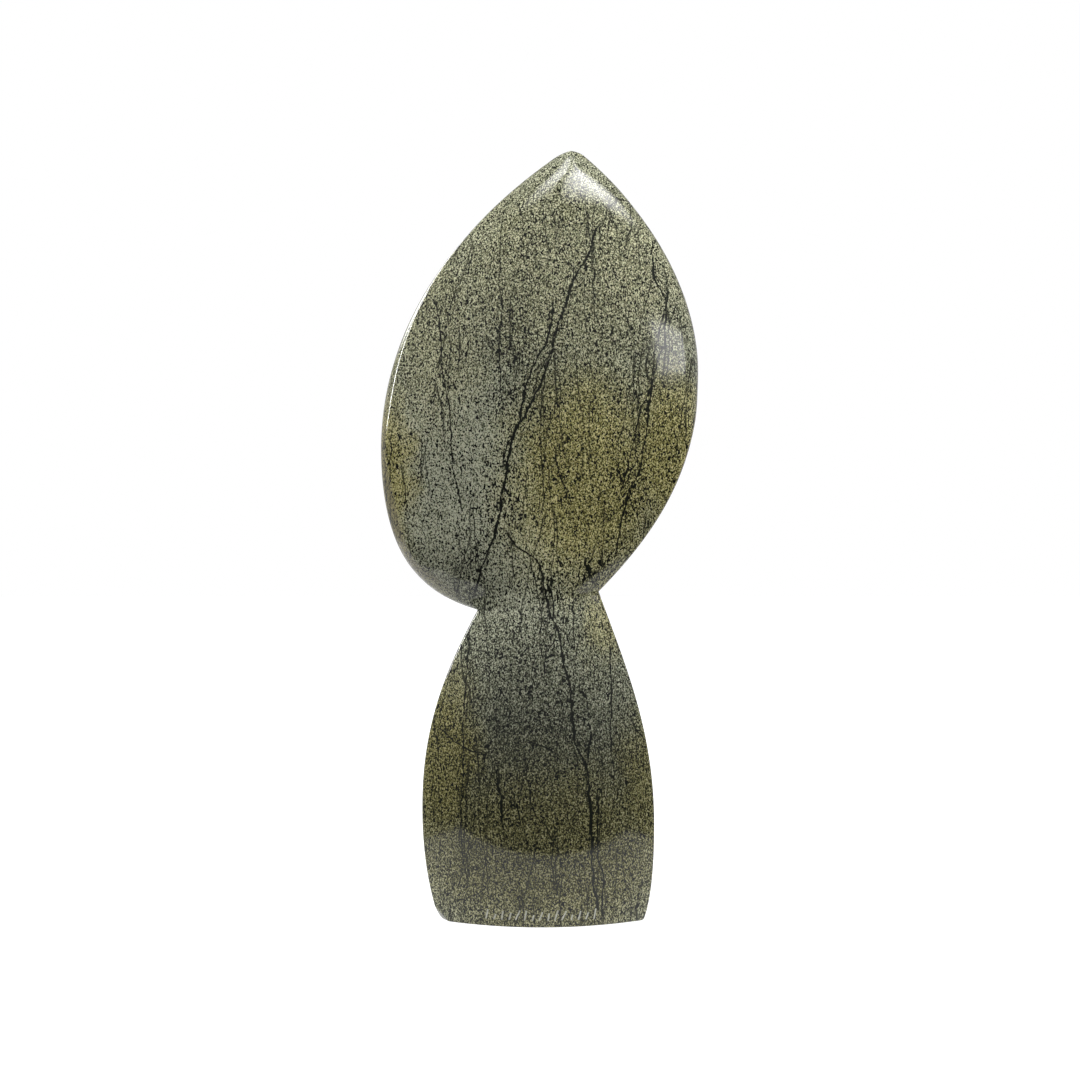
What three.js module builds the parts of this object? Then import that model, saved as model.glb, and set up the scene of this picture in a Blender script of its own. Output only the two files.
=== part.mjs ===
// A head carved from one piece of serpentine: a pointed oval on a pinched neck and a flared bust.
// Millimetres. X runs across, Y from the back to the front, Z up. The underside lies at Z 0.
import * as THREE from 'three';

// Main sizes
const height = 350.3;
const headWidth = 145;
const neckWidth = 54.8;
const bustWidth = 105.3;
const baseWidth = 92.6;

// How far the middle of the head, neck and bust lies aside of the middle of the underside
const headAside = -0.7;
const neckAside = -1.5;
const bustAside = -1.4;

// Outline, as it shows from the back. Leans are in degrees, pulls are the reach of a curve's handles
const left = {
  foot: { x: -baseWidth / 2, lean: 109.3, pull: 23.4 },
  bust: { x: bustAside - bustWidth / 2, z: 51.4, below: 6.8, above: 33.9 },
  neck: { x: neckAside - neckWidth / 2, z: 140.7, down: 241.5, downPull: 34.4, up: 167, upPull: 40.2 },
  head: { x: headAside - headWidth / 2, z: 213.1, below: 26.7, above: 22 },
  tip: { lean: 215.9, pull: 92.9, round: 10.3 },
};
const right = {
  foot: { x: baseWidth / 2, lean: 66.6, pull: 11 },
  bust: { x: bustAside + bustWidth / 2, z: 42, below: 9.9, above: 41.8 },
  neck: { x: neckAside + neckWidth / 2, z: 149.1, down: 290.5, downPull: 41.2, up: 45.4, upPull: 41.4 },
  head: { x: headAside + headWidth / 2, z: 249.6, below: 42.6, above: 30.5 },
  tip: { lean: -39.4, pull: 44.3, round: 7.4 },
};
const tipAside = 14.2;

// Depths either side of the middle plane, as [share of the height, depth]
const neckBack = 25;
const neckFront = 17;
const neckEdge = 14;
const bustBack = [[0, 29.3], [0.33, 34.5], [0.7, 30.5], [1, neckBack]];
const bustFront = [[0, 31], [0.33, 35], [0.7, 25], [1, neckFront]];
const bustBackEdge = [[0, 12], [0.33, 12.5], [1, neckEdge]];
const bustFrontEdge = [[0, 12], [0.33, 13], [0.7, 8], [1, 4]];
const headBack = [[0, neckBack], [0.2, 27], [0.4, 29], [0.6, 29], [0.8, 24], [0.92, 17], [1, 8]];
const headFront = [
  [0, neckFront], [0.05, 27], [0.14, 32], [0.4, 36], [0.62, 34], [0.82, 24], [0.94, 13], [1, 7],
];
const headBackEdge = [[0, neckEdge], [0.3, 14.5], [0.6, 14], [0.85, 10], [1, 4]];
const headFrontEdge = [[0, 4], [0.06, 14], [0.2, 18], [0.5, 15], [0.85, 7], [1, 3]];

// How far the edges lie inside the outline, as [share of the height, share of the width]
const bustBackInset = [[0, 0], [1, 0]];
const bustFrontInset = [[0, 0.05], [0.5, 0.05], [1, 0.08]];
const leftBackInset = [
  [0, 0], [0.03, 0.11], [0.08, 0.085], [0.14, 0.04], [0.25, 0.045], [0.34, 0.033],
  [0.42, 0.021], [0.55, 0.028], [0.75, 0.016], [0.9, 0.01], [1, 0],
];
const rightBackInset = [[0, 0], [0.25, 0.006], [1, 0.006]];
const headFrontInset = [[0, 0.08], [0.1, 0.12], [1, 0.12]];

// How far each edge is rounded, in millimetres, and the most of a side, as a share, that a rounding takes
const crispEdge = 1;
const frontEdge = 11;
const rollStart = 0.26;
const rollEnd = 0.4;
const rollRound = 15;
const mostRounded = 0.4;

// Corner of the underside that has been knocked off at the back left
const chipHeight = 4;
const chipWidth = 3.4;
const chipDepth = 8;

// The face on the front. Places and sizes are shares of the head's height above the neck and of its width,
// and out is how far a form stands out in millimetres
const knobs = {
  socket: { at: 0.5, apart: 0.2, tall: 0.075, wide: 0.15, out: -4 },
  lid: { at: 0.488, apart: 0.2, tall: 0.038, wide: 0.1, out: 3.2 },
  upperLip: { at: 0.175, apart: 0, tall: 0.018, wide: 0.13, out: 2.8 },
  lowerLip: { at: 0.144, apart: 0, tall: 0.021, wide: 0.11, out: 2.8 },
  chin: { at: 0.065, apart: 0, tall: 0.05, wide: 0.13, out: 2.4 },
};
const nose = {
  top: { at: 0.62, fade: 0.1, wide: 0.035, out: 2.9 },
  end: { at: 0.25, fade: 0.03, wide: 0.075, out: 9.5 },
};
const brow = {
  at: 0.59, apart: 0.17, droop: 1.3, tall: 0.045, out: 2.6, from: 0.02, fromFade: 0.05, to: 0.36, toFade: 0.1,
};
const keel = { from: 0.56, fromFade: 0.12, toFade: 0.2, wide: 0.14, out: 2.2 };

// How far to the front of the middle plane the face has come in full
const faceFade = 10;

// How finely the stone is divided, around and from ring to ring
const across = { back: 12, side: 6, corner: 3, front: 38 };
const rings = { foot: 5, waist: 12, jaw: 20, crown: 23, tip: 4 };
const footCrowding = 1.6;
const leastWidth = 0.01;

const stone = new THREE.MeshStandardMaterial({ color: 0x6c6e58, roughness: 0.24, metalness: 0 });
stone.name = 'polished_serpentine';

const share = (t) => Math.min(Math.max(t, 0), 1);
const ease = (t) => share(t) ** 2 * (3 - 2 * share(t));
const mix = (a, b, t) => a + (b - a) * t;
const bump = (t) => Math.max(1 - t * t, 0) ** 2;

// Value at one place of a smooth curve through [place, value] stations
function through(stations, place) {
  const last = stations.length - 1;
  let i = 0;
  while (i < last - 1 && place > stations[i + 1][0]) i += 1;
  const slope = (k) => {
    const a = stations[Math.max(k - 1, 0)];
    const b = stations[Math.min(k + 1, last)];
    return (b[1] - a[1]) / (b[0] - a[0]);
  };
  const span = stations[i + 1][0] - stations[i][0];
  const t = share((place - stations[i][0]) / span);
  const rise = t * t * (3 - 2 * t);
  const bend = slope(i) * t * (1 - t) ** 2 - slope(i + 1) * t * t * (1 - t);
  return mix(stations[i][1], stations[i + 1][1], rise) + span * bend;
}

// Point at a distance from another, in a direction given in degrees
function along(from, degrees, distance) {
  const angle = THREE.MathUtils.degToRad(degrees);
  return new THREE.Vector2(from.x + distance * Math.cos(angle), from.y + distance * Math.sin(angle));
}

const place = ({ x, z = 0 }) => new THREE.Vector2(x, z);
const tipFall = (side) => side.tip.round * Math.sin(THREE.MathUtils.degToRad(side.tip.lean));
const apex = new THREE.Vector2(tipAside, height - (tipFall(left) + tipFall(right)) / 4);
const tipStart = (side) => along(apex, side.tip.lean, side.tip.round);
const top = tipStart(left).add(tipStart(right)).addScaledVector(apex, 2).multiplyScalar(0.25);
const neckHeight = (left.neck.z + right.neck.z) / 2;

// One side of the outline, from the underside to the tip
function outline(side) {
  const foot = place(side.foot);
  const bust = place(side.bust);
  const neck = place(side.neck);
  const head = place(side.head);
  const tip = tipStart(side);
  const curve = (a, pullA, pullB, b) => new THREE.CubicBezierCurve(a, pullA, pullB, b);
  const pull = {
    foot: along(foot, side.foot.lean, side.foot.pull),
    belowBust: along(bust, -90, side.bust.below),
    aboveBust: along(bust, 90, side.bust.above),
    belowNeck: along(neck, side.neck.down, side.neck.downPull),
    aboveNeck: along(neck, side.neck.up, side.neck.upPull),
    belowHead: along(head, -90, side.head.below),
    aboveHead: along(head, 90, side.head.above),
    tip: along(tip, side.tip.lean, side.tip.pull),
  };
  return {
    foot: curve(foot, pull.foot, pull.belowBust, bust),
    waist: curve(bust, pull.aboveBust, pull.belowNeck, neck),
    jaw: curve(neck, pull.aboveNeck, pull.belowHead, head),
    crown: curve(head, pull.aboveHead, pull.tip, tip),
    tip: new THREE.QuadraticBezierCurve(tip, tip.clone().lerp(apex, 0.5), top),
  };
}

// Depths, insets and rounding of the ring whose middle lies at one height
function formAt(height, onHead) {
  if (!onHead) {
    const u = height / neckHeight;
    const edges = { back: through(bustBackEdge, u), front: through(bustFrontEdge, u) };
    const inset = { back: through(bustBackInset, u), front: through(bustFrontInset, u) };
    return {
      back: through(bustBack, u),
      front: through(bustFront, u),
      left: { ...edges, backInset: inset.back, frontInset: inset.front, backRound: crispEdge },
      right: { ...edges, backInset: inset.back, frontInset: inset.front, backRound: crispEdge },
    };
  }
  const u = (height - neckHeight) / (top.y - neckHeight);
  const edges = { back: through(headBackEdge, u), front: through(headFrontEdge, u) };
  const frontInset = through(headFrontInset, u);
  const roll = mix(crispEdge, rollRound, ease((u - rollStart) / (rollEnd - rollStart)));
  return {
    back: through(headBack, u),
    front: through(headFront, u),
    left: { ...edges, frontInset, backInset: through(leftBackInset, u), backRound: crispEdge },
    right: { ...edges, frontInset, backInset: through(rightBackInset, u), backRound: roll },
  };
}

// Closed section of a ring, across and in depth: the back, the right side, the front and the left side,
// each an arc, with its corners rounded
function section(width, form) {
  const at = (x, y) => new THREE.Vector2(x, y);
  const tipWidth = left.tip.round + right.tip.round;
  const close = Math.sqrt(1 - (1 - share(width / tipWidth)) ** 2);
  const corner = {
    backLeft: at(form.left.backInset * width, -form.left.back * close),
    backRight: at(width * (1 - form.right.backInset), -form.right.back * close),
    frontRight: at(width * (1 - form.right.frontInset), form.right.front * close),
    frontLeft: at(form.left.frontInset * width, form.left.front * close),
  };
  const arc = (a, middle, b) => new THREE.QuadraticBezierCurve(a, middle, b);
  const crown = (a, b, depth) => at((a.x + b.x) / 2, 2 * depth * close - (a.y + b.y) / 2);
  const swell = (side) => width * Math.sqrt(side.backInset * side.frontInset);
  const { backLeft, backRight, frontRight, frontLeft } = corner;
  const rightSwell = at(width + swell(form.right), (backRight.y + frontRight.y) / 2);
  const leftSwell = at(-swell(form.left), (backLeft.y + frontLeft.y) / 2);
  const arcs = [
    { arc: arc(backLeft, crown(backLeft, backRight, -form.back), backRight), steps: across.back },
    { arc: arc(backRight, rightSwell, frontRight), steps: across.side },
    { arc: arc(frontRight, crown(frontLeft, frontRight, form.front), frontLeft), steps: across.front },
    { arc: arc(frontLeft, leftSwell, backLeft), steps: across.side },
  ];
  const rounds = [form.right.backRound, frontEdge, frontEdge, form.left.backRound];
  const cut = (i, round) => Math.min(round / (arcs[i].arc.getLength() + round), mostRounded);
  const points = [];
  arcs.forEach(({ arc: side, steps }, i) => {
    const next = (i + 1) % arcs.length;
    const from = cut(i, rounds[(i + 3) % arcs.length]);
    const to = 1 - cut(i, rounds[i]);
    for (let k = 0; k < steps; k += 1) points.push(side.getPoint(mix(from, to, k / steps)));
    const round = arc(side.getPoint(to), side.getPoint(1), arcs[next].arc.getPoint(cut(next, rounds[i])));
    for (let k = 0; k < across.corner; k += 1) points.push(round.getPoint(k / across.corner));
  });
  return points;
}

// How far the face stands out of the front at one place
function relief(x, z) {
  const u = (z - neckHeight) / (top.y - neckHeight);
  if (u <= 0) return 0;
  const aside = (x - mix(neckAside, top.x, u)) / headWidth;
  const wide = Math.abs(aside);
  const down = share((nose.top.at - u) / (nose.top.at - nose.end.at));
  const noseWide = bump(aside / mix(nose.top.wide, nose.end.wide, down));
  const noseTall = ease((u - nose.end.at) / nose.end.fade) * ease((nose.top.at - u) / nose.top.fade);
  const browLine = brow.at - brow.droop * (wide - brow.apart) ** 2;
  const browWide = ease((wide - brow.from) / brow.fromFade) * ease((brow.to - wide) / brow.toFade);
  const ridges = [
    mix(nose.top.out, nose.end.out, down) * noseWide * noseTall,
    brow.out * bump((u - browLine) / brow.tall) * browWide,
    keel.out * bump(aside / keel.wide) * ease((u - keel.from) / keel.fromFade) * ease((1 - u) / keel.toFade),
  ];
  const rounds = Object.values(knobs).map(({ at, apart, tall, wide: across, out }) => (
    out * bump(Math.hypot((u - at) / tall, (wide - apart) / across))
  ));
  return [...ridges, ...rounds].reduce((sum, out) => sum + out, 0);
}

// Keeps a point inside the broken face at the back left of the underside
function chip(point) {
  const corner = new THREE.Vector3(left.foot.x, -bustBackEdge[0][1], 0);
  const away = point.clone().sub(corner);
  const outside = 1 - away.x / chipWidth - away.y / chipDepth - away.z / chipHeight;
  if (outside > 0) point.x += outside * chipWidth;
  return point;
}

// Rings of the stone from the underside to the tip
function stoneRings() {
  const sides = { left: outline(left), right: outline(right) };
  const found = [];
  for (const [name, count] of Object.entries(rings)) {
    for (let k = name === 'foot' ? 0 : 1; k <= count; k += 1) {
      const step = name === 'foot' ? (k / count) ** footCrowding : k / count;
      const a = sides.left[name].getPoint(step);
      const b = sides.right[name].getPoint(step);
      if (a.distanceTo(b) < leastWidth) break;
      const onHead = !['foot', 'waist'].includes(name);
      const width = a.distanceTo(b);
      found.push(section(width, formAt((a.y + b.y) / 2, onHead)).map((p) => {
        const spot = a.clone().lerp(b, p.x / width);
        const carved = p.y > 0 ? relief(spot.x, spot.y) * ease(p.y / faceFade) : 0;
        return chip(new THREE.Vector3(spot.x, p.y + carved, spot.y));
      }));
    }
  }
  return found;
}

// Closed skin over the rings, with a flat underside and a point at the tip
function skin(ringPoints) {
  const around = ringPoints[0].length;
  const corners = ringPoints.flat();
  const under = corners.push(new THREE.Vector3(0, 0, 0)) - 1;
  const tip = corners.push(new THREE.Vector3(top.x, 0, top.y)) - 1;
  const faces = [];
  for (let k = 0; k < around; k += 1) {
    const next = (k + 1) % around;
    const lastRing = (ringPoints.length - 1) * around;
    faces.push(under, next, k, tip, lastRing + k, lastRing + next);
    for (let r = 0; r < ringPoints.length - 1; r += 1) {
      const low = r * around;
      const high = low + around;
      faces.push(low + k, low + next, high + next, low + k, high + next, high + k);
    }
  }
  const geometry = new THREE.BufferGeometry().setFromPoints(corners);
  geometry.setIndex(faces);
  geometry.computeVertexNormals();
  return geometry;
}

const group = new THREE.Group();
const head = new THREE.Mesh(skin(stoneRings()), stone);
head.name = 'serpentine_head';
group.add(head);

export default group;
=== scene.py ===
import math

import bmesh
import bpy
import numpy as np
from mathutils import Matrix, Vector
from mathutils.bvhtree import BVHTree


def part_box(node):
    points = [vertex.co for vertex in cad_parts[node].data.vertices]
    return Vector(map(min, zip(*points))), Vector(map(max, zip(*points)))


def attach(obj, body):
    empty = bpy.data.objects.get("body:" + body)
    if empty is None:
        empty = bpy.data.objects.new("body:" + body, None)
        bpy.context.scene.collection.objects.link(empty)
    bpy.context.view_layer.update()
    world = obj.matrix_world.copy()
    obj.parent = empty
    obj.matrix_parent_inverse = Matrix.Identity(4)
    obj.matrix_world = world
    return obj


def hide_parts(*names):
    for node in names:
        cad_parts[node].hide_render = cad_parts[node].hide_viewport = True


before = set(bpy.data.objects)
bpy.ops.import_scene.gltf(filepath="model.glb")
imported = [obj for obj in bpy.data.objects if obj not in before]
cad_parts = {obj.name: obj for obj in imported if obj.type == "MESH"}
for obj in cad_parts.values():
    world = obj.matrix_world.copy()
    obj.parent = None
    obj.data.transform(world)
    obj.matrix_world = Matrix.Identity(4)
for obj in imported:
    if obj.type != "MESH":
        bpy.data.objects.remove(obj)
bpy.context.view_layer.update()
stone_low, stone_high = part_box("serpentine_head")

# Main sizes of the stone, in millimetres, as in the part
HEIGHT = 350.3
HEAD_WIDTH, NECK_WIDTH, BUST_WIDTH, BASE_WIDTH = 145, 54.8, 105.3, 92.6

# How far the middle of the head, neck, bust and tip lies aside of the middle of the underside
HEAD_ASIDE, NECK_ASIDE, BUST_ASIDE, TIP_ASIDE = -0.7, -1.5, -1.4, 14.2

# Outline as it shows from the back; leans in degrees, pulls are the reach of a curve's handles
LEFT = {
    "foot": {"x": -BASE_WIDTH / 2, "lean": 109.3, "pull": 23.4},
    "bust": {"x": BUST_ASIDE - BUST_WIDTH / 2, "z": 51.4, "below": 6.8, "above": 33.9},
    "neck": {"x": NECK_ASIDE - NECK_WIDTH / 2, "z": 140.7,
             "down": 241.5, "down_pull": 34.4, "up": 167, "up_pull": 40.2},
    "head": {"x": HEAD_ASIDE - HEAD_WIDTH / 2, "z": 213.1, "below": 26.7, "above": 22},
    "tip": {"lean": 215.9, "pull": 92.9, "round": 10.3},
}
RIGHT = {
    "foot": {"x": BASE_WIDTH / 2, "lean": 66.6, "pull": 11},
    "bust": {"x": BUST_ASIDE + BUST_WIDTH / 2, "z": 42, "below": 9.9, "above": 41.8},
    "neck": {"x": NECK_ASIDE + NECK_WIDTH / 2, "z": 149.1,
             "down": 290.5, "down_pull": 41.2, "up": 45.4, "up_pull": 41.4},
    "head": {"x": HEAD_ASIDE + HEAD_WIDTH / 2, "z": 249.6, "below": 42.6, "above": 30.5},
    "tip": {"lean": -39.4, "pull": 44.3, "round": 7.4},
}

# Depths either side of the middle plane, as (share of the height, depth)
NECK_BACK, NECK_FRONT, NECK_EDGE = 25, 17, 14
BUST_BACK = ((0, 29.3), (0.33, 34.5), (0.7, 30.5), (1, NECK_BACK))
BUST_FRONT = ((0, 31), (0.33, 35), (0.7, 25), (1, NECK_FRONT))
BUST_BACK_EDGE = ((0, 12), (0.33, 12.5), (1, NECK_EDGE))
BUST_FRONT_EDGE = ((0, 12), (0.33, 13), (0.7, 8), (1, 4))
HEAD_BACK = ((0, NECK_BACK), (0.2, 27), (0.4, 29), (0.6, 29), (0.8, 24), (0.92, 17), (1, 8))
HEAD_FRONT = ((0, NECK_FRONT), (0.05, 27), (0.14, 32), (0.4, 36), (0.62, 34), (0.82, 24),
              (0.94, 13), (1, 7))
HEAD_BACK_EDGE = ((0, NECK_EDGE), (0.3, 14.5), (0.6, 14), (0.85, 10), (1, 4))
HEAD_FRONT_EDGE = ((0, 4), (0.06, 14), (0.2, 18), (0.5, 15), (0.85, 7), (1, 3))

# How far the edges lie inside the outline, as (share of the height, share of the width)
BUST_BACK_INSET = ((0, 0), (1, 0))
BUST_FRONT_INSET = ((0, 0.05), (0.5, 0.05), (1, 0.08))
LEFT_BACK_INSET = ((0, 0), (0.03, 0.11), (0.08, 0.085), (0.14, 0.04), (0.25, 0.045), (0.34, 0.033),
                   (0.42, 0.021), (0.55, 0.028), (0.75, 0.016), (0.9, 0.01), (1, 0))
RIGHT_BACK_INSET = ((0, 0), (0.25, 0.006), (1, 0.006))
HEAD_FRONT_INSET = ((0, 0.08), (0.1, 0.12), (1, 0.12))

# How far each edge is rounded
CRISP_EDGE = 1.0
FRONT_EDGE = 11
ROLL_START, ROLL_END, ROLL_ROUND = 0.26, 0.4, 15
MOST_ROUNDED = 0.4
RIM_ROUND = 0.9

# Corner of the underside that has been knocked off at the back left
CHIP_WIDTH, CHIP_DEPTH, CHIP_HEIGHT = 3.4, 8, 4

# The face. Places and sizes are shares of the head's height above the neck and of its width,
# and out is how far a form stands out
KNOBS = {
    "socket": {"at": 0.5, "apart": 0.2, "tall": 0.075, "wide": 0.15, "out": -4},
    "lid": {"at": 0.488, "apart": 0.2, "tall": 0.038, "wide": 0.1, "out": 3.2},
    "upper_lip": {"at": 0.175, "apart": 0, "tall": 0.018, "wide": 0.13, "out": 2.8},
    "lower_lip": {"at": 0.144, "apart": 0, "tall": 0.021, "wide": 0.11, "out": 2.8},
    "chin": {"at": 0.065, "apart": 0, "tall": 0.05, "wide": 0.13, "out": 2.4},
}
NOSE_TOP = {"at": 0.62, "fade": 0.1, "wide": 0.035, "out": 2.9}
NOSE_END = {"at": 0.25, "fade": 0.03, "wide": 0.075, "out": 9.5}
BROW = {"at": 0.59, "apart": 0.17, "droop": 1.3, "tall": 0.045, "out": 2.6,
        "from": 0.02, "from_fade": 0.05, "to": 0.36, "to_fade": 0.1}
KEEL = {"from": 0.56, "from_fade": 0.12, "to_fade": 0.2, "wide": 0.14, "out": 2.2}
FACE_FADE = 10

# Share of a groove's half length over which it fades at each end
GROOVE_FADE = 0.2

# Finer carving of the face: grooves that follow arcs, in the same shares, with their half width
# and depth
GROOVES = {
    "upper_lid": {"at": 0.486, "apart": 0.2, "wide": 0.085, "rise": 0.032, "half": 0.9, "deep": 1.0},
    "lower_lid": {"at": 0.486, "apart": 0.2, "wide": 0.085, "rise": -0.018, "half": 0.8, "deep": 0.8},
    "lid_fold": {"at": 0.494, "apart": 0.2, "wide": 0.1, "rise": 0.046, "half": 1.1, "deep": 0.6},
    "mouth": {"at": 0.16, "apart": 0, "wide": 0.105, "rise": 0.006, "half": 0.9, "deep": 1.4},
}

# How finely the stone is divided: around it, and in rings upward. Then the marks that an arc is
# measured by, how far the flat rings of the underside reach, and the least width and gap
AROUND = {"back": 76, "side": 14, "corner": 6, "front": 120}
RINGS = {"under": 8, "rim": 4, "foot": 52, "waist": 84, "jaw": 80, "crown": 96, "tip": 12}
ARC_MARKS = 33
UNDER_REACH = 0.98
LEAST_WIDTH = 1e-6
MERGE_DISTANCE = 1e-6


def share(t):
    return np.clip(t, 0, 1)


def ease(t):
    return share(t) ** 2 * (3 - 2 * share(t))


def mix(a, b, t):
    return a + (b - a) * t


def bump(t):
    return np.maximum(1 - t * t, 0) ** 2


def through(stations, place):
    """Value at one place of a smooth curve through (place, value) stations."""
    last = len(stations) - 1
    i = 0
    while i < last - 1 and place > stations[i + 1][0]:
        i += 1

    def slope(k):
        a, b = stations[max(k - 1, 0)], stations[min(k + 1, last)]
        return (b[1] - a[1]) / (b[0] - a[0])

    span = stations[i + 1][0] - stations[i][0]
    t = share((place - stations[i][0]) / span)
    bend = slope(i) * t * (1 - t) ** 2 - slope(i + 1) * t * t * (1 - t)
    return mix(stations[i][1], stations[i + 1][1], t * t * (3 - 2 * t)) + span * bend


def along(start, degrees, distance):
    """Point at a distance from another, in a direction."""
    angle = math.radians(degrees)
    return start + distance * np.array([math.cos(angle), math.sin(angle)])


def curve(t, *pulls):
    """Points at t on the Bezier curve of three or four pulls."""
    points = [np.asarray(p, float) for p in pulls]
    t = np.asarray(t, float)[..., None]
    while len(points) > 1:
        points = [mix(a, b, t) for a, b in zip(points, points[1:])]
    return points[0]


def spot(side, name):
    return np.array([side[name]["x"], side[name].get("z", 0)])


def tip_fall(side):
    return side["tip"]["round"] * math.sin(math.radians(side["tip"]["lean"]))


APEX = np.array([TIP_ASIDE, HEIGHT - (tip_fall(LEFT) + tip_fall(RIGHT)) / 4])


def tip_start(side):
    return along(APEX, side["tip"]["lean"], side["tip"]["round"])


TOP = (tip_start(LEFT) + 2 * APEX + tip_start(RIGHT)) / 4
NECK_HEIGHT = (LEFT["neck"]["z"] + RIGHT["neck"]["z"]) / 2
HEAD_HEIGHT = TOP[1] - NECK_HEIGHT
MM = (stone_high[2] - stone_low[2]) / TOP[1]


def outline(side, span, t):
    """Point at t on one span of one side of the outline."""
    foot, bust, neck, head = (spot(side, name) for name in ("foot", "bust", "neck", "head"))
    start, tip = tip_start(side), side["tip"]
    pulls = {
        "foot": (foot, along(foot, side["foot"]["lean"], side["foot"]["pull"]),
                 along(bust, -90, side["bust"]["below"]), bust),
        "waist": (bust, along(bust, 90, side["bust"]["above"]),
                  along(neck, side["neck"]["down"], side["neck"]["down_pull"]), neck),
        "jaw": (neck, along(neck, side["neck"]["up"], side["neck"]["up_pull"]),
                along(head, -90, side["head"]["below"]), head),
        "crown": (head, along(head, 90, side["head"]["above"]),
                  along(start, tip["lean"], tip["pull"]), start),
        "tip": (start, (start + APEX) / 2, TOP),
    }
    return curve(t, *pulls[span])


def form_at(height, on_head):
    """Depths, insets and rounding of the ring whose middle lies at one height."""
    if not on_head:
        u = height / NECK_HEIGHT
        side = (through(BUST_BACK_EDGE, u), through(BUST_FRONT_EDGE, u),
                through(BUST_BACK_INSET, u), through(BUST_FRONT_INSET, u), CRISP_EDGE)
        return through(BUST_BACK, u), through(BUST_FRONT, u), side, side
    u = (height - NECK_HEIGHT) / HEAD_HEIGHT
    edges = through(HEAD_BACK_EDGE, u), through(HEAD_FRONT_EDGE, u)
    front_inset = through(HEAD_FRONT_INSET, u)
    roll = mix(CRISP_EDGE, ROLL_ROUND, ease((u - ROLL_START) / (ROLL_END - ROLL_START)))
    left = (*edges, through(LEFT_BACK_INSET, u), front_inset, CRISP_EDGE)
    right = (*edges, through(RIGHT_BACK_INSET, u), front_inset, roll)
    return through(HEAD_BACK, u), through(HEAD_FRONT, u), left, right


def section(width, form):
    """Closed section of a ring: the back, right, front and left arcs, with their corners rounded."""
    back, front, left, right = form
    tip_width = LEFT["tip"]["round"] + RIGHT["tip"]["round"]
    close = math.sqrt(1 - (1 - share(width / tip_width)) ** 2)
    back_left = np.array([left[2] * width, -left[0] * close])
    back_right = np.array([width * (1 - right[2]), -right[0] * close])
    front_right = np.array([width * (1 - right[3]), right[1] * close])
    front_left = np.array([left[3] * width, left[1] * close])

    def crown(a, b, depth):
        return np.array([(a[0] + b[0]) / 2, 2 * depth * close - (a[1] + b[1]) / 2])

    def swell(side):
        return width * math.sqrt(side[2] * side[3])

    arcs = (
        (back_left, crown(back_left, back_right, -back), back_right),
        (back_right, np.array([width + swell(right), (back_right[1] + front_right[1]) / 2]),
         front_right),
        (front_right, crown(front_left, front_right, front), front_left),
        (front_left, np.array([-swell(left), (back_left[1] + front_left[1]) / 2]), back_left),
    )
    steps = (AROUND["back"], AROUND["side"], AROUND["front"], AROUND["side"])
    rounds = (right[4], FRONT_EDGE, FRONT_EDGE, left[4])
    lengths = []
    for arc in arcs:
        marks = curve(np.linspace(0, 1, ARC_MARKS), *arc)
        lengths.append(np.linalg.norm(np.diff(marks, axis=0), axis=1).sum())

    def cut(i, rounding):
        return min(rounding / (lengths[i] + rounding), MOST_ROUNDED)

    points = []
    for i, arc in enumerate(arcs):
        after = (i + 1) % 4
        start, end = cut(i, rounds[i - 1]), 1 - cut(i, rounds[i])
        points.append(curve(mix(start, end, np.arange(steps[i]) / steps[i]), *arc))
        pulls = curve(end, *arc), arc[2], curve(cut(after, rounds[i]), *arcs[after])
        points.append(curve(np.arange(AROUND["corner"]) / AROUND["corner"], *pulls))
    return np.concatenate(points)


def relief(x, z):
    """How far the face stands out of the front."""
    u = (z - NECK_HEIGHT) / HEAD_HEIGHT
    aside = (x - mix(NECK_ASIDE, TOP[0], u)) / HEAD_WIDTH
    wide = np.abs(aside)
    down = share((NOSE_TOP["at"] - u) / (NOSE_TOP["at"] - NOSE_END["at"]))
    nose_wide = mix(NOSE_TOP["wide"], NOSE_END["wide"], down)
    nose = mix(NOSE_TOP["out"], NOSE_END["out"], down) * bump(aside / nose_wide)
    nose = nose * ease((u - NOSE_END["at"]) / NOSE_END["fade"])
    nose = nose * ease((NOSE_TOP["at"] - u) / NOSE_TOP["fade"])
    droop = BROW["droop"] * (wide - BROW["apart"]) ** 2
    brow = BROW["out"] * bump((u - BROW["at"] + droop) / BROW["tall"])
    brow = brow * ease((wide - BROW["from"]) / BROW["from_fade"])
    brow = brow * ease((BROW["to"] - wide) / BROW["to_fade"])
    keel = KEEL["out"] * bump(aside / KEEL["wide"])
    keel = keel * ease((u - KEEL["from"]) / KEEL["from_fade"]) * ease((1 - u) / KEEL["to_fade"])
    rounds = 0
    for knob in KNOBS.values():
        off = np.hypot((u - knob["at"]) / knob["tall"], (wide - knob["apart"]) / knob["wide"])
        rounds = rounds + knob["out"] * bump(off)
    cuts = 0
    for groove in GROOVES.values():
        along_arc = (wide - groove["apart"]) / groove["wide"]
        arc = groove["at"] + groove["rise"] * (1 - along_arc ** 2)
        deep = groove["deep"] * bump((u - arc) * HEAD_HEIGHT / groove["half"])
        cuts = cuts + deep * ease((1 - np.abs(along_arc)) / GROOVE_FADE)
    return (nose + brow + keel + rounds - cuts) * (u > 0)


def chip(points):
    """Keeps the points inside the broken face at the back left of the underside."""
    corner = np.array([LEFT["foot"]["x"], -BUST_BACK_EDGE[0][1], 0])
    away = (points - corner) / (CHIP_WIDTH, CHIP_DEPTH, CHIP_HEIGHT)
    outside = np.maximum(1 - away.sum(axis=1), 0)
    points[:, 0] += outside * CHIP_WIDTH
    return points


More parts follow.
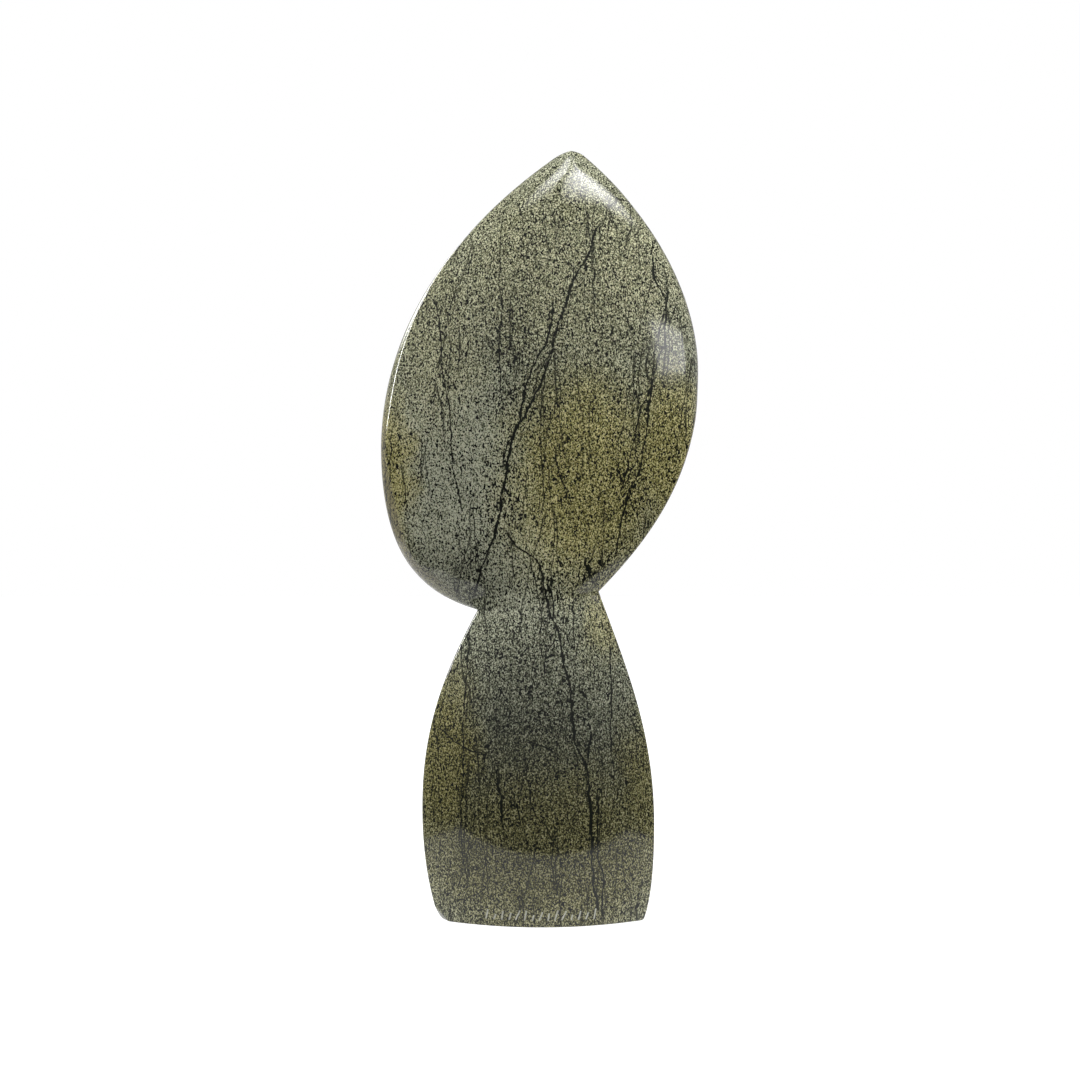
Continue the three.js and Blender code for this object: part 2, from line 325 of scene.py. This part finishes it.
def ring(span, t):
    """Points of the ring at t on one span."""
    a, b = outline(LEFT, span, t), outline(RIGHT, span, t)
    width = max(np.linalg.norm(b - a), LEAST_WIDTH)
    shape = section(width, form_at((a[1] + b[1]) / 2, span in ("jaw", "crown", "tip")))
    places = mix(a, b, (shape[:, 0] / width)[:, None])
    depth = shape[:, 1] + relief(*places.T) * ease(shape[:, 1] / FACE_FADE)
    return np.column_stack((places[:, 0], depth, places[:, 1]))


def stone_rings():
    """Every ring, from the middle of the underside to the tip."""
    base = ring("foot", 0)
    rings = []
    for k in range(RINGS["under"]):
        rings.append(base * (UNDER_REACH * k / RINGS["under"]))
    for k in range(RINGS["rim"]):
        angle = math.pi / 2 * k / RINGS["rim"]
        inward = RIM_ROUND * (1 - math.sin(angle))
        away = np.linalg.norm(base, axis=1)[:, None]
        rim = base * (1 - inward / away)
        rim[:, 2] = RIM_ROUND * (1 - math.cos(angle))
        rings.append(rim)
    for span in ("foot", "waist", "jaw", "crown", "tip"):
        for k in range(1, RINGS[span] + 1):
            rings.append(ring(span, k / RINGS[span]))
    return np.array([chip(points) for points in rings])


def finished(name, shape):
    """The mesh of a bmesh, which is freed."""
    mesh = bpy.data.meshes.new(name)
    shape.to_mesh(mesh)
    shape.free()
    return mesh


def stone_mesh():
    """The stone's skin: a grid wrapped round the rings, merged at its seam, its foot and its tip."""
    rings = stone_rings() * MM
    count, around = rings.shape[:2]
    body = bmesh.new()
    bmesh.ops.create_grid(body, x_segments=around, y_segments=count - 1, size=1)
    for v in body.verts:
        column = round((v.co.x + 1) / 2 * around) % around
        row = round((v.co.y + 1) / 2 * (count - 1))
        v.co = rings[row, column]
    bmesh.ops.remove_doubles(body, verts=body.verts, dist=MERGE_DISTANCE)
    bmesh.ops.recalc_face_normals(body, faces=body.faces)
    for face in body.faces:
        face.smooth = True
    return finished("carved_stone", body)


def add(name, mesh):
    piece = bpy.data.objects.new(name, mesh)
    bpy.context.scene.collection.objects.link(piece)
    return piece


# Strokes scratched low on the back: where the row starts and ends, its height, how the strokes vary,
# and how far outside the stone the search for its skin starts
STROKE_ROW = {"from": -24.3, "to": 23.9, "low": 3.2, "count": 15}
STROKE_TALL = (4.6, 2.6, 4.1, 3.4, 4.8)
STROKE_LEAN = (14, 22, 9, 17, 26, 12)
STROKE_WIDE, STROKE_DEEP = 0.7, 0.35
SEARCH_FROM = 100


def strokes_mesh(skin):
    """Cutters for the scratched strokes: four-sided bars that lie half sunk along the skin."""
    bars = bmesh.new()
    half = math.sqrt(0.5)
    for i in range(STROKE_ROW["count"]):
        tall = STROKE_TALL[i % len(STROKE_TALL)]
        lean = math.radians(STROKE_LEAN[i % len(STROKE_LEAN)])
        x = mix(STROKE_ROW["from"], STROKE_ROW["to"], i / (STROKE_ROW["count"] - 1))
        place = Vector((x, -SEARCH_FROM, STROKE_ROW["low"] + tall / 2)) * MM
        on_skin, normal, _, _ = skin.ray_cast(place, Vector((0, 1, 0)))
        bar = bmesh.ops.create_cube(bars, size=1)["verts"]
        bmesh.ops.rotate(bars, verts=bar, matrix=Matrix.Rotation(math.radians(45), 3, "Z"))
        size = Vector((STROKE_WIDE / 2 / half, STROKE_DEEP / half, tall)) * MM
        bmesh.ops.scale(bars, verts=bar, vec=size)
        bmesh.ops.rotate(bars, verts=bar, matrix=Matrix.Rotation(lean, 3, "Y"))
        turn = Vector((0, -1, 0)).rotation_difference(normal).to_matrix()
        bmesh.ops.rotate(bars, verts=bar, matrix=turn)
        bmesh.ops.translate(bars, verts=bar, vec=on_skin)
    return finished("strokes", bars)


def cut_out(piece, cutters):
    """Takes the cutters out of the piece for good, and leaves their material in the cuts."""
    tool = add("cutters", cutters)
    cut = piece.modifiers.new("cut", "BOOLEAN")
    cut.operation = "DIFFERENCE"
    cut.solver = "EXACT"
    cut.material_mode = "TRANSFER"
    cut.object = tool
    carved = bpy.data.meshes.new_from_object(piece.evaluated_get(bpy.context.evaluated_depsgraph_get()))
    piece.modifiers.clear()
    piece.data = carved
    bpy.data.objects.remove(tool)


class Finish:
    """A material, and short ways to add nodes to it."""

    def __init__(self, name):
        self.material = bpy.data.materials.new(name)
        self.material.use_nodes = True
        self.nodes = self.material.node_tree.nodes
        self.links = self.material.node_tree.links
        self.shader = self.nodes["Principled BSDF"].inputs
        where = self.nodes.new("ShaderNodeTexCoord").outputs["Object"]
        self.at = self.moved(where, stretch=(1 / MM, 1 / MM, 1 / MM))

    def feed(self, socket, value):
        if isinstance(value, bpy.types.NodeSocket):
            self.links.new(value, socket)
        else:
            socket.default_value = value

    def moved(self, at, move=(0, 0, 0), turn=(0, 0, 0), stretch=(1, 1, 1)):
        node = self.nodes.new("ShaderNodeMapping")
        self.feed(node.inputs["Vector"], at)
        node.inputs["Location"].default_value = move
        node.inputs["Rotation"].default_value = [math.radians(angle) for angle in turn]
        node.inputs["Scale"].default_value = stretch
        return node.outputs["Vector"]

    def parts(self, at):
        node = self.nodes.new("ShaderNodeSeparateXYZ")
        self.feed(node.inputs["Vector"], at)
        return node.outputs

    def calc(self, operation, *values):
        node = self.nodes.new("ShaderNodeMath")
        node.operation = operation
        for socket, value in zip(node.inputs, values):
            self.feed(socket, value)
        return node.outputs["Value"]

    def vector(self, operation, *values):
        node = self.nodes.new("ShaderNodeVectorMath")
        node.operation = operation
        for socket, value in zip([socket for socket in node.inputs if socket.enabled], values):
            self.feed(socket, value)
        return node.outputs["Value" if operation == "LENGTH" else "Vector"]

    def fade(self, value, start, end, low=0.0, high=1.0):
        """Goes smoothly from low to high while value goes from start to end."""
        node = self.nodes.new("ShaderNodeMapRange")
        node.interpolation_type = "SMOOTHSTEP"
        for socket, given in zip(node.inputs, (value, start, end, low, high)):
            self.feed(socket, given)
        return node.outputs["Result"]

    def noise(self, at, scale, detail=2.0, roughness=0.5, output="Fac"):
        node = self.nodes.new("ShaderNodeTexNoise")
        self.feed(node.inputs["Vector"], at)
        node.inputs["Scale"].default_value = scale
        node.inputs["Detail"].default_value = detail
        node.inputs["Roughness"].default_value = roughness
        return node.outputs[output]

    def shaken(self, at, scale, reach, detail=2.0):
        """The place, pushed about by noise of a given scale."""
        push = self.vector("SUBTRACT", self.noise(at, scale, detail, output="Color"), (0.5, 0.5, 0.5))
        return self.vector("ADD", at, self.vector("SCALE", push, float(reach)))

    def ramp(self, value, *stops):
        node = self.nodes.new("ShaderNodeValToRGB")
        self.feed(node.inputs["Fac"], value)
        marks = node.color_ramp.elements
        while len(marks) < len(stops):
            marks.new(0.5)
        for mark, (position, colour) in zip(marks, stops):
            mark.position = position
            mark.color = (*colour, 1)
        return node.outputs["Color"]

    def tint(self, factor, a, b):
        node = self.nodes.new("ShaderNodeMix")
        node.data_type = "RGBA"
        sockets = [socket for socket in node.inputs if socket.enabled]
        for socket, value in zip(sockets, (factor, a, b)):
            self.feed(socket, (*value, 1) if isinstance(value, tuple) else value)
        return [socket for socket in node.outputs if socket.enabled][0]

    def vein(self, across, up, line, width):
        """Dark line through points (across, up): 1 on the line, 0 away from it."""
        points = np.array(sorted(line, key=lambda point: point[1]), float)
        low, high = points.min(axis=0) - 1, points.max(axis=0) + 1
        unit = (points - low) / (high - low)
        node = self.nodes.new("ShaderNodeFloatCurve")
        path = node.mapping.curves[0].points
        path[0].location = unit[0][::-1]
        path[1].location = unit[-1][::-1]
        for u, t in unit[1:-1]:
            path.new(t, u)
        node.mapping.update()
        t = self.calc("MULTIPLY_ADD", up, 1 / (high[1] - low[1]), -low[1] / (high[1] - low[1]))
        self.feed(node.inputs["Value"], t)
        follow = self.calc("MULTIPLY_ADD", node.outputs["Value"], high[0] - low[0], low[0])
        off = self.calc("ABSOLUTE", self.calc("SUBTRACT", across, follow))
        ends = self.calc("ABSOLUTE", self.calc("SUBTRACT", t, 0.5))
        end_fade = VEIN_END / (high[1] - low[1])
        return self.calc("MULTIPLY", self.fade(off, width, self.calc("MULTIPLY", width, 0.5)),
                         self.fade(ends, 0.5, 0.5 - end_fade))


# Veins on the back of the stone, each as its width and the points (x, z) that it follows,
# and the length over which a vein thins out at its ends
VEIN_END = 5
UPRIGHT_VEINS = (
    (0.75, ((27.7, 316.7), (23.6, 308.7), (21.7, 301.2), (16.3, 292), (12.3, 282.9), (10.1, 274.8),
            (6.5, 265.8), (3.4, 252), (0.3, 243.1), (-6.8, 228.9), (-11.7, 220.9), (-16.7, 197.8),
            (-19.8, 179.1), (-24.8, 165.2), (-30.9, 144.9))),
    (0.65, ((5.2, 281), (3.2, 263.1), (-2.4, 252.8), (-7.7, 236.9), (-10, 223.6), (-15.3, 213.8),
            (-17.1, 203.6))),
    (0.4, ((15, 296.5), (13.2, 283.8), (8.3, 271.1), (5.2, 259.1), (1.6, 251.9), (-2, 243.5),
           (-3.7, 234.6))),
    (0.55, ((50.4, 309.2), (50.9, 290.2), (56, 280.2), (55.9, 271.7), (55.3, 261.8), (52.3, 253.6),
            (48.7, 236.5), (46.3, 216.3), (44.2, 204.2), (40.2, 196.2), (36.2, 182.3),
            (33.4, 165.2))),
    (0.4, ((55.1, 297.4), (56.9, 284.7), (53.7, 269), (51, 257.6), (49.6, 244.1), (44.1, 228.4),
           (41.5, 217.2), (38.3, 204.2), (34.3, 190.3))),
    (0.75, ((-16.2, 178.2), (-12.7, 172), (-6.9, 167), (-2.4, 163.9), (0.3, 158.1), (1.6, 148.3),
            (3.4, 140.3), (7.2, 133.1), (9.5, 120.7), (12.7, 107), (15.2, 82.3), (19.6, 72.5),
            (22, 44.6), (22.9, 25.3), (25.5, 5.5))),
    (0.6, ((24.3, 87.7), (21.6, 82.1), (20.7, 72.5))),
    (0.6, ((25.4, 60.8), (24.9, 44.5), (25.4, 31), (27.9, 20.8), (27, 12.3), (29.8, 2.8))),
    (0.5, ((-21.5, 73.5), (-18.9, 64.3), (-17.7, 54.7), (-17.4, 44.1))),
    (0.4, ((-14.6, 64.5), (-10.8, 54), (-8.8, 44.3))),
    (0.4, ((-5, 62.4), (-3.7, 54.1), (2.7, 44.4), (8.4, 31.8))),
    (0.45, ((39.5, 92.7), (42.7, 87.5), (46.8, 80.7))),
    (0.4, ((31.7, 133.6), (31.1, 116.1), (31.4, 98.8), (30.9, 83.4), (31.3, 74.1))),
    (0.4, ((-31.4, 128.7), (-34.3, 104.7), (-35, 83.4), (-35, 63.5), (-35.9, 48.8), (-33.7, 21.3))),
    (0.4, ((-48.2, 282.5), (-45.5, 266.6), (-44.8, 253.5), (-42.7, 238.6), (-40.7, 226),
           (-40.2, 210.9), (-38.2, 197.9), (-35.7, 184.9))),
    (0.4, ((-19.8, 286.3), (-17.5, 274), (-18.6, 261), (-18.1, 243.1), (-16.6, 230.2))),
    (0.4, ((6.1, 214.7), (7.2, 204), (10.1, 196), (12.3, 188))),
    (0.5, ((16.7, 220.9), (19, 212.9))),
    (0.45, ((3.4, 158), (4.3, 153.3), (5.2, 142), (6.5, 130))),
    (0.4, ((6.8, 131), (6.1, 127.9), (2, 121.2), (0.7, 108))),
    (0.4, ((13.8, 152), (14.1, 147), (14.5, 124))),
    (0.7, ((18, 166), (20, 161), (21.5, 157.5), (25, 150))),
)
LEVEL_VEINS = (
    (0.55, ((-48.2, 89.3), (-42.6, 85), (-35.9, 80.7), (-30, 78), (-24.2, 76.9), (-21.5, 73.5))),
    (0.4, ((-7.9, 84.3), (-1.1, 81.7), (4.7, 79.5), (10, 74.1))),
    (0.4, ((-38.8, 10.7), (-31.9, 12.8), (-22.8, 19))),
)

# Hairlines, each as half the spacing between them, how far they lean and their half width. Then how
# far they drift, and how dark they are
HAIRLINES = ((5.3, 0.09, 0.22), (7.1, -0.06, 0.24), (9.7, 0.02, 0.28), (14.3, -0.22, 0.26))
HAIR_DRIFT = 24
HAIR_DARK = 0.85

# Zones of the stone, each as the (x, z) of its middle, (half width, half height) and strength. Their
# middles lie ZONE_BACK behind the middle plane, their half depth is ZONE_DEPTH, and they fade between
# two shares of their size
ZONE_BACK, ZONE_DEPTH = 25, 60
ZONE_FADE = (1.2, 0.35)
OLIVE_ZONES = (
    ((20, 200), (44, 58), 1),
    ((58, 212), (26, 46), 1),
    ((-70, 203), (16, 44), 1),
    ((12, 292), (74, 58), 0.3),
    ((-48, 268), (30, 56), 0.3),
    ((30, 142), (14, 30), 0.6),
    ((-46, 74), (24, 50), 1),
    ((0, 34), (80, 50), 0.75),
    ((50, 60), (22, 44), 0.8),
)
FLECK_ZONES = (
    ((-12, 256), (11, 30), 1),
    ((-9, 232), (9, 16), 0.8),
    ((-18, 188), (11, 30), 1),
    ((-30, 158), (10, 14), 0.8),
    ((40, 198), (9, 28), 0.9),
    ((24, 159), (14, 8), 1),
    ((4, 148), (9, 14), 0.8),
    ((6, 105), (26, 34), 0.6),
    ((-16, 120), (14, 26), 0.5),
)
SMOOTH_ZONES = (
    ((-66, 180), (34, 70), 0.75),
)
# Darker stone over the bust. It also paints in shade, darkening the bust where the lamps give it less
# light
DARK_STONE_AND_SHADE_ZONES = (
    ((0, 56), (90, 72), 1),
)
# Paler stone on the left of the head and at the neck. It also paints in light that the lamps, set above
# and to the right, don't give the left of the head
PALE_STONE_AND_LIGHT_ZONES = (
    ((-40, 200), (38, 62), 1),
    ((-8, 160), (26, 30), 0.7),
)

# Colours of the grain, from its dark grains to its light ones
GREY_GREEN = ((0.38, (0.05, 0.055, 0.036)), (0.47, (0.185, 0.195, 0.128)),
              (0.54, (0.34, 0.355, 0.245)), (0.64, (0.68, 0.69, 0.52)))
OLIVE = ((0.38, (0.055, 0.051, 0.017)), (0.47, (0.23, 0.214, 0.073)),
         (0.54, (0.42, 0.388, 0.145)), (0.64, (0.75, 0.69, 0.35)))
BRUISED = ((0.3, (0.42, 0.42, 0.36)), (0.7, (0.8, 0.8, 0.72)))
WORN = (0.2, 0.17, 0.085)
BLACK = (0.004, 0.006, 0.003)

# How fine each pattern of the stone is, as the scale of its noise in waves per millimetre
VEIL_SCALE, CLOUD_SCALE, LOOSE_SCALE, POLISH_SCALE = 0.018, 0.035, 0.06, 0.12
GRAIN_SCALE, DOT_SCALE, FLECK_SCALE, RAGGED_SCALE, GRIT_SCALE = 1.8, 1.4, 0.85, 0.45, 2.4

# How far the noise must rise for a dot or a fleck, and over how much more it turns black
DOT_EDGE, DOT_SOFT = 0.6, 0.03
FLECK_EDGE, FLECK_SOFT = 0.668, 0.015

# How far a vein's sheet moves sideways and up for each millimetre inwards from its start
SHEET_START, SHEET_ASIDE, SHEET_UP = 12, -0.6, 0.3


def zone(finish, at, places):
    """The strength of the given ovals at their middles, fading to 0 round them."""
    found = 0.0
    for (x, z), (half_width, half_height), strength in places:
        scale = (1 / half_width, 1 / ZONE_DEPTH, 1 / half_height)
        middle = (-x * scale[0], ZONE_BACK * scale[1], -z * scale[2])
        near = finish.moved(at, move=middle, stretch=scale)
        oval = finish.fade(finish.vector("LENGTH", near), *ZONE_FADE, 0.0, strength)
        found = finish.calc("MAXIMUM", oval, found)
    return found


def serpentine():
    """Polished serpentine: worm-like grain in two colours, black flecks, hairlines and veins, with
    painted light and shade in some zones.
    """
    finish = Finish("polished_serpentine")
    at = finish.at
    clouds = finish.noise(at, CLOUD_SCALE, 3)
    loose = finish.shaken(at, LOOSE_SCALE, 22, 5)
    y = finish.parts(at)["Y"]

    # Olive lies in the zones of the back, and in broad veils on the front
    front = finish.fade(y, -14, 6)
    veils = finish.noise(finish.moved(at, stretch=(1, 1, 0.5)), VEIL_SCALE, 2)
    veiled = finish.calc("MULTIPLY", finish.fade(veils, 0.5, 0.62), front)
    olive = finish.calc("MAXIMUM", zone(finish, loose, OLIVE_ZONES), veiled)
    dark_stone_and_shade = zone(finish, loose, DARK_STONE_AND_SHADE_ZONES)
    pale_stone_and_light = zone(finish, loose, PALE_STONE_AND_LIGHT_ZONES)

    # Grain: fine light worms, a little taller than wide, and small black dots between them
    tall = finish.moved(at, stretch=(1, 1, 0.8))
    grain = finish.noise(tall, GRAIN_SCALE, 1, 0.5)
    shade = finish.calc("MULTIPLY_ADD", finish.calc("SUBTRACT", clouds, 0.5), 0.08, grain)
    # Painted light: the pale zones lift the grain on the left of the head and at the neck, partly paler
    # stone
    shade = finish.calc("MULTIPLY_ADD", pale_stone_and_light, 0.085, shade)
    # Painted shade: the dark zone lowers the bust's grain, partly darker stone
    shade = finish.calc("MULTIPLY_ADD", dark_stone_and_shade, -0.03, shade)
    colour = finish.tint(olive, finish.ramp(shade, *GREY_GREEN), finish.ramp(shade, *OLIVE))
    # Painted shade: the bust is also tinted towards black, partly darker stone
    colour = finish.tint(finish.calc("MULTIPLY", dark_stone_and_shade, 0.5), colour, BLACK)
    worn = finish.calc("MULTIPLY", zone(finish, at, SMOOTH_ZONES), finish.fade(y, -15, -12))
    colour = finish.tint(worn, colour, WORN)

    # Black dots and flecks, drawn out upwards, that crowd in a few places
    scattered = finish.fade(clouds, 0.55, 0.75, 0.0, 0.6)
    crowd = finish.calc("MAXIMUM", zone(finish, loose, FLECK_ZONES), scattered)
    edge = finish.calc("MULTIPLY_ADD", crowd, -0.03, DOT_EDGE)
    # Fewer dots where the stone is paler or painted lighter
    edge = finish.calc("MULTIPLY_ADD", pale_stone_and_light, 0.02, edge)
    dots = finish.noise(finish.moved(at, turn=(0, -6, 0), stretch=(1, 1, 0.7)), DOT_SCALE, 0)
    dots = finish.fade(dots, edge, finish.calc("ADD", edge, DOT_SOFT))
    edge = finish.calc("MULTIPLY_ADD", crowd, -0.075, FLECK_EDGE)
    flecks = finish.noise(finish.moved(at, turn=(0, 8, 0), stretch=(1, 1, 0.45)), FLECK_SCALE, 1, 0.5)
    flecks = finish.fade(flecks, edge, finish.calc("ADD", edge, FLECK_SOFT))
    flecks = finish.calc("MAXIMUM", dots, flecks)

    # Veins are sheets in the stone, with the veins of the back along one edge, leaning inwards
    rough = finish.shaken(finish.shaken(at, 0.14, 2.2, 1), 0.5, 0.9, 1)
    x, y, z = finish.parts(rough)
    inward = finish.calc("MAXIMUM", finish.calc("ADD", y, SHEET_START), 0)
    across = finish.calc("MULTIPLY_ADD", inward, SHEET_ASIDE, x)
    up = finish.calc("MULTIPLY_ADD", inward, SHEET_UP, z)

    # Hairlines are thinner sheets that drift and come and go
    hairs = 0.0
    for spacing, lean, reach in HAIRLINES:
        drift = finish.noise(finish.moved(at, move=(spacing, 0, 0), stretch=(0.03, 0.03, 0.012)), 1, 2)
        leaning = finish.calc("MULTIPLY_ADD", up, lean, across)
        place = finish.calc("MULTIPLY_ADD", drift, HAIR_DRIFT, leaning)
        beside = finish.calc("PINGPONG", place, spacing)
        beside = finish.fade(beside, reach * 1.8, reach * 0.5)
        patchy = finish.noise(finish.moved(at, stretch=(1, 1, 0.3), move=(spacing, 7, 3)), 0.07, 3)
        hair = finish.calc("MULTIPLY", beside, finish.fade(patchy, 0.48, 0.57))
        hairs = finish.calc("MAXIMUM", hair, hairs)

    # Veins widen and narrow along their way; a level one is an upright one with its axes swapped
    ragged = finish.fade(finish.noise(at, RAGGED_SCALE, 2), 0.32, 0.68, 0.5, 1.45)
    routes = [(across, up, line, width) for width, line in UPRIGHT_VEINS]
    routes += [(up, across, [point[::-1] for point in line], width) for width, line in LEVEL_VEINS]
    veins = 0.0
    for aside, forth, line, width in routes:
        vein = finish.vein(aside, forth, line, finish.calc("MULTIPLY", ragged, width))
        veins = finish.calc("MAXIMUM", veins, vein)

    dark = finish.calc("MAXIMUM", flecks, finish.calc("MULTIPLY", hairs, HAIR_DARK))
    dark = finish.calc("MAXIMUM", veins, dark)
    finish.feed(finish.shader["Base Color"], finish.tint(dark, colour, BLACK))
    polish = finish.noise(at, POLISH_SCALE, 1)
    finish.feed(finish.shader["Roughness"], finish.fade(polish, 0.3, 0.7, 0.08, 0.13))
    finish.shader["IOR"].default_value = 1.54
    bump = finish.nodes.new("ShaderNodeBump")
    bump.inputs["Strength"].default_value = 0.15
    bump.inputs["Distance"].default_value = 0.03 * MM
    finish.feed(bump.inputs["Height"], grain)
    finish.feed(finish.shader["Normal"], bump.outputs["Normal"])
    return finish.material


def bruised():
    """Serpentine where it is scratched: pale and dull."""
    finish = Finish("bruised_serpentine")
    grit = finish.noise(finish.at, GRIT_SCALE, 3, 0.7)
    finish.feed(finish.shader["Base Color"], finish.ramp(grit, *BRUISED))
    finish.feed(finish.shader["Roughness"], finish.fade(grit, 0.3, 0.7, 0.6, 0.85))
    return finish.material


stone = add("carved_stone", stone_mesh())
stone.data.materials.append(serpentine())
skin = BVHTree.FromObject(stone, bpy.context.evaluated_depsgraph_get())
strokes = strokes_mesh(skin)
strokes.materials.append(bruised())
cut_out(stone, strokes)
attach(stone, "root")
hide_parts("serpentine_head")


# The camera, in metres: its place, and the width of its frame at the stone's middle plane. The
# sensor's width is in millimetres
CAMERA_DISTANCE = 0.9
CAMERA_HEIGHT = 0.1724
CAMERA_ASIDE = -0.00062
FRAME_WIDTH = 0.49618
SENSOR = 36


def camera():
    lens = bpy.data.cameras.new("camera")
    lens.sensor_width = SENSOR
    lens.lens = SENSOR * CAMERA_DISTANCE / FRAME_WIDTH
    eye = bpy.data.objects.new("camera", lens)
    eye.location = (CAMERA_ASIDE, -CAMERA_DISTANCE, CAMERA_HEIGHT)
    eye.rotation_euler = (math.radians(90), 0, 0)
    bpy.context.scene.collection.objects.link(eye)
    bpy.context.scene.camera = eye


def aim(light, place, target):
    light.location = place
    toward = Vector(target) - Vector(place)
    light.rotation_euler = toward.to_track_quat("-Z", "Y").to_euler()
    light.visible_camera = False


def panel(name, place, target, size, radiance):
    """A soft rectangular light that looks at a target."""
    lamp = bpy.data.lights.new(name, "AREA")
    lamp.shape = "RECTANGLE"
    lamp.size, lamp.size_y = size
    lamp.energy = radiance * math.pi * size[0] * size[1]
    light = bpy.data.objects.new(name, lamp)
    aim(light, place, target)
    bpy.context.scene.collection.objects.link(light)


def softbox(name, place, target, size, radiance):
    """A large light that is brightest in its middle and fades to nothing at its rim."""
    cloth = bmesh.new()
    bmesh.ops.create_grid(cloth, x_segments=1, y_segments=1, size=0.5)
    mesh = finished(name, cloth)
    shine = bpy.data.materials.new(name)
    shine.use_nodes = True
    tree = shine.node_tree
    tree.nodes.remove(tree.nodes["Principled BSDF"])
    inward = tree.nodes.new("ShaderNodeVectorMath")
    inward.operation = "LENGTH"
    tree.links.new(tree.nodes.new("ShaderNodeTexCoord").outputs["Object"], inward.inputs[0])
    fall = tree.nodes.new("ShaderNodeMapRange")
    fall.interpolation_type = "SMOOTHSTEP"
    for socket, value in zip(fall.inputs, (0, 0.5, 0.05, 0, radiance)):
        socket.default_value = value
    tree.links.new(inward.outputs["Value"], fall.inputs["Value"])
    emission = tree.nodes.new("ShaderNodeEmission")
    tree.links.new(fall.outputs["Result"], emission.inputs["Strength"])
    tree.links.new(emission.outputs["Emission"], tree.nodes["Material Output"].inputs["Surface"])
    mesh.materials.append(shine)
    light = add(name, mesh)
    aim(light, place, target)
    light.scale = (*size, 1)


def sheet(name, low, high, level, glow):
    """A level white sheet of the floor."""
    paper = bmesh.new()
    bmesh.ops.create_grid(paper, x_segments=1, y_segments=1, size=0.5)
    middle = [(a + b) / 2 for a, b in zip(low, high)]
    bmesh.ops.scale(paper, verts=paper.verts, vec=(high[0] - low[0], high[1] - low[1], 1))
    bmesh.ops.translate(paper, verts=paper.verts, vec=(*middle, level))
    mesh = finished(name, paper)
    white = bpy.data.materials.new(name)
    white.use_nodes = True
    inputs = white.node_tree.nodes["Principled BSDF"].inputs
    inputs["Base Color"].default_value = (0.5, 0.5, 0.5, 1)
    inputs["Roughness"].default_value = 0.9
    inputs["Specular IOR Level"].default_value = 0
    inputs["Emission Color"].default_value = (1, 1, 1, 1)
    inputs["Emission Strength"].default_value = glow
    mesh.materials.append(white)
    made = add(name, mesh)
    return made


camera()

# The floor that the camera sees, and the smaller sheets that the stone mirrors
FLOOR_BOUNCE = 0.5
for name, reach, level, glow in (("floor", 0.6, 0, 0.8), ("floor_far", 5, -0.0005, 1.0)):
    seen = sheet(name, (-reach, -reach), (reach, reach), level, glow)
    seen.visible_glossy = False
    seen.visible_diffuse = False
for name, low, high, level in (("floor_bounce", (-0.21, -0.12), (0.26, 0.3), -0.0002),
                               ("floor_bounce_behind", (-0.6, 0.05), (-0.05, 0.8), -0.0003)):
    sheet(name, low, high, level, FLOOR_BOUNCE).visible_camera = False

# The lights: each one's place, what it looks at, its size and its brightness
softbox("band_softbox", (0.28, -0.213, 0.825), (0.025, 0, 0.33), (0.86, 0.35), 14)
softbox("front_softbox", (-0.06, -0.28, 0.98), (0, 0, 0.25), (0.9, 0.5), 9)
panel("window", (0.38, -0.24, 0.33), (0.055, -0.02, 0.26), (0.27, 0.1), 4.5)
panel("left_strip_light", (-0.88, 0.15, 0.6), (-0.06, 0, 0.24), (0.16, 0.5), 25)
softbox("face_softbox", (-0.6, 0.75, 0.75), (0, 0, 0.2), (0.6, 0.6), 12)

# The room: behind the stone a pale backdrop that dims upwards, in front of it a room that is dark
# low down and lighter above, and white wherever the camera looks
ROOM_LOW, ROOM_HIGH = 0.08, 0.4
BACKDROP_LOW, BACKDROP_HIGH = 0.45, 0.2
world = bpy.data.worlds.new("studio")
world.use_nodes = True
tree = world.node_tree
where = tree.nodes.new("ShaderNodeTexCoord").outputs["Generated"]
toward = tree.nodes.new("ShaderNodeSeparateXYZ")
tree.links.new(where, toward.inputs["Vector"])


def room_fade(part, start, end, low, high):
    """Goes smoothly from low to high while one part of the direction goes from start to end."""
    node = tree.nodes.new("ShaderNodeMapRange")
    node.interpolation_type = "SMOOTHSTEP"
    for socket, value in zip(node.inputs, (0, start, end, low, high)):
        socket.default_value = value
    tree.links.new(toward.outputs[part], node.inputs["Value"])
    return node.outputs["Result"]


def room_mix(factor, a, b):
    node = tree.nodes.new("ShaderNodeMix")
    for socket, value in zip(node.inputs, (factor, None, a, b)):
        if isinstance(value, bpy.types.NodeSocket):
            tree.links.new(value, socket)
        elif value is not None:
            socket.default_value = value
    return node.outputs[0]


dim = room_fade("Z", -0.2, 0.4, ROOM_LOW, ROOM_HIGH)
backdrop = room_fade("Z", 0.1, 0.4, BACKDROP_LOW, BACKDROP_HIGH)
room = room_mix(room_fade("Y", -0.2, 0.3, 0, 1), dim, backdrop)
path = tree.nodes.new("ShaderNodeLightPath")
background = tree.nodes["Background"].inputs
background["Color"].default_value = (1, 1, 1, 1)
tree.links.new(room_mix(path.outputs["Is Camera Ray"], room, 1.0), background["Strength"])
bpy.context.scene.world = world
bpy.context.scene.view_settings.view_transform = "Standard"
